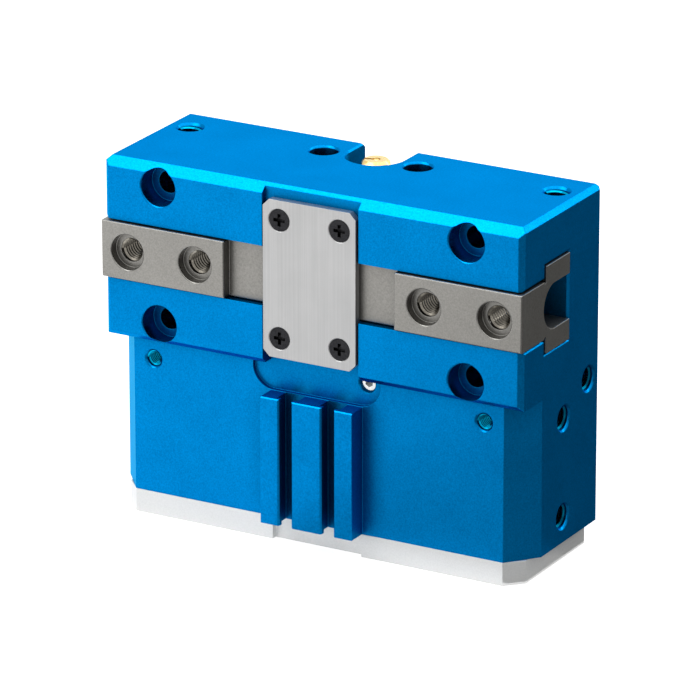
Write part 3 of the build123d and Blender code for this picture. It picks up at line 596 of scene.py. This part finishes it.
def thread(name, body, mouth, inwards, size, length):
    """The ridge of an inside thread, from the hole's mouth inwards; sizes in millimetres."""
    finish, slot = "thread_nickel_shaded", "nickel_jaw"
    if body == "housing":
        finish, slot = "thread_blue_brightened_shaded", "blue_anodised"
    outer, pitch = size
    crest = (outer - pitch) / 2
    root = outer / 2 + SUNK
    far = (FOOT_SHARE + CREST_SHARE) / 2 * pitch
    near = (FOOT_SHARE - CREST_SHARE) / 2 * pitch
    section = [(root, 0.0), (root, FOOT_SHARE * pitch), (crest, far), (crest, near)]
    ridge = bmesh.new()
    corners = [ridge.verts.new(Vector((out, 0.0, along)) * MM) for out, along in section]
    start = ridge.faces.new(corners)
    count = round((length / pitch - 1) * STEPS)
    climb = Vector((0, 0, pitch * MM / STEPS))
    turn = 2 * math.pi * count / STEPS
    up = (0, 0, 1)
    bmesh.ops.spin(ridge, geom=[start], cent=(0, 0, 0), axis=up, dvec=climb, angle=turn, steps=count)
    open_edges = [edge for edge in ridge.edges if not edge.is_manifold]
    bmesh.ops.holes_fill(ridge, edges=open_edges, sides=4)
    bmesh.ops.recalc_face_normals(ridge, faces=ridge.faces)
    turned = inwards.to_track_quat("Z", "Y").to_matrix().to_4x4()
    bmesh.ops.transform(ridge, matrix=Matrix.Translation(mouth) @ turned, verts=ridge.verts)
    closed = all(edge.is_manifold for edge in ridge.edges)
    data = bpy.data.meshes.new(name)
    ridge.to_mesh(data)
    ridge.free()
    data.shade_smooth()
    data.set_sharp_from_angle(angle=SMOOTH_BELOW)
    piece = bpy.data.objects.new(name, data)
    scene.collection.objects.link(piece)
    data.materials.append(finishes[finish])
    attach(piece, body)
    return closed


HALF_WIDTH, TOP = 57.5, 92.0
SEATS_ACROSS, SEAT_FLOOR, JAW_HEIGHT = (31.5, 50.5), 1.4, 68.7
LOW_ACROSS, LOW_MOUTH, LOW_HEIGHT = 45.75, 3.5, 40.9
HIGH_ACROSS, HIGH_BEHIND = 50.7, 29.8
FLANK_BEHIND, FLANK_HEIGHT = 34.4, 44.1
PORT_BEHIND, PORT_HEIGHTS = 21.75, {"lower": 12.8, "upper": 38.0}
BELOW_TOP, BELOW_SIDE = 0.7, 0.5
all_closed = []
for side, end in ((1, "right"), (-1, "left")):
    sideways = Vector((-side, 0, 0))
    for number, across in enumerate(SEATS_ACROSS, start=1):
        name = f"jaw_thread_{end}_{number}"
        seat = place(side * across, SEAT_FLOOR, JAW_HEIGHT)
        all_closed.append(thread(name, end + "_jaw", seat, BACKWARDS, M6, 9.2))
    low = place(side * LOW_ACROSS, LOW_MOUTH, LOW_HEIGHT)
    all_closed.append(thread("low_thread_" + end, "housing", low, BACKWARDS, M4, 6.8))
    high = place(side * HIGH_ACROSS, HIGH_BEHIND, TOP - BELOW_TOP)
    all_closed.append(thread("top_thread_" + end, "housing", high, DOWN, M6, 10.8))
    flank = place(side * (HALF_WIDTH - BELOW_SIDE), FLANK_BEHIND, FLANK_HEIGHT)
    all_closed.append(thread("side_thread_" + end, "housing", flank, sideways, M6, 7.0))
for name, height in PORT_HEIGHTS.items():
    port = place(HALF_WIDTH - BELOW_SIDE, PORT_BEHIND, height)
    all_closed.append(thread(name + "_port_thread", "housing", port, LEFTWARDS, M6, 8.0))
print(len(all_closed), "threads, all closed:", all(all_closed))

# %% Sizes
low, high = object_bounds()
print("visual box, millimetres:", [round(side / MM, 2) for side in high - low])
